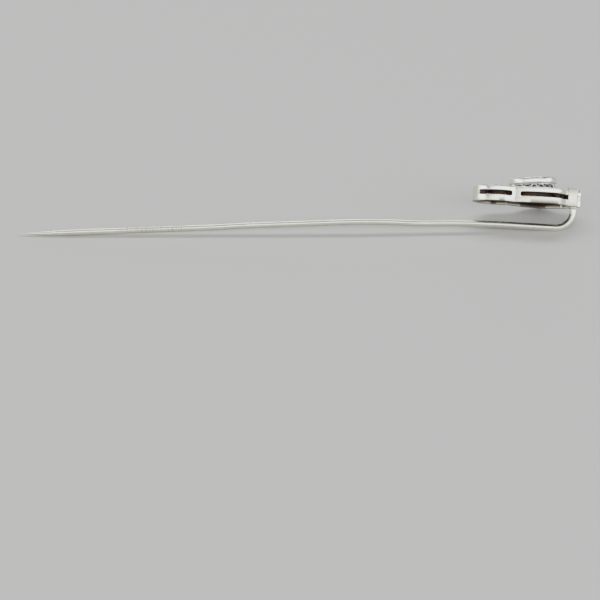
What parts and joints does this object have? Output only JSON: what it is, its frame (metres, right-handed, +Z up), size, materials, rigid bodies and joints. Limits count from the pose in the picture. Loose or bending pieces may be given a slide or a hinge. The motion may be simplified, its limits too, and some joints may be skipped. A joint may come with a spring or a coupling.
{
  "type": "stick pin",
  "caption": "Bent-wire stick pin with a lobed two-rail jewelled head lying parallel to its long pointed stem.",
  "frame": {"origin": "centre of the lying pin's box, on the surface it lies on", "axes": "+X along the stem from the point to the head, +Z up"},
  "size_m": [0.063, 0.007, 0.0061],
  "materials": {
    "stem_metal": "polished white-metal wire with fine drawing lines and wear",
    "head_metal": "polished white metal, tarnished in the recesses",
    "grain_metal": "beaded and bright-cut white metal",
    "clear_stone": "faceted colourless stone"
  },
  "bodies": {
    "root": {"centre_collet": "head_metal", "centre_gallery": "head_metal", "centre_stone": "clear_stone", "cluster_plate": "grain_metal", "cluster_rim": "grain_metal", "end_block": "head_metal", "far_hip_setting": "head_metal", "far_hip_stone": "clear_stone", "far_lobe_setting": "head_metal", "far_lobe_stone": "clear_stone", "far_notch_bead": "grain_metal", "far_notch_post": "head_metal", "far_notch_setting": "head_metal", "far_notch_stone": "clear_stone", "far_shoulder_setting": "head_metal", "far_shoulder_stone": "clear_stone", "far_side_block": "head_metal", "far_under_strut": "head_metal", "halo_grains": "grain_metal", "halo_stones": "clear_stone", "lower_rail": "head_metal", "milgrain_border": "grain_metal", "near_hip_setting": "head_metal", "near_hip_stone": "clear_stone", "near_lobe_setting": "head_metal", "near_lobe_stone": "clear_stone", "near_notch_bead": "grain_metal", "near_notch_post": "head_metal", "near_notch_setting": "head_metal", "near_notch_stone": "clear_stone", "near_shoulder_setting": "head_metal", "near_shoulder_stone": "clear_stone", "near_side_block": "head_metal", "near_under_strut": "head_metal", "neck_setting": "head_metal", "neck_stone": "clear_stone", "pin_stem": "stem_metal", "spine_setting": "head_metal", "spine_stone": "clear_stone", "stem_seat": "stem_metal", "tail_post": "head_metal", "tail_setting": "head_metal", "tail_stone": "clear_stone", "top_plate": "head_metal", "under_ring": "head_metal", "upper_rail": "head_metal"}
  },
  "joints": []
}
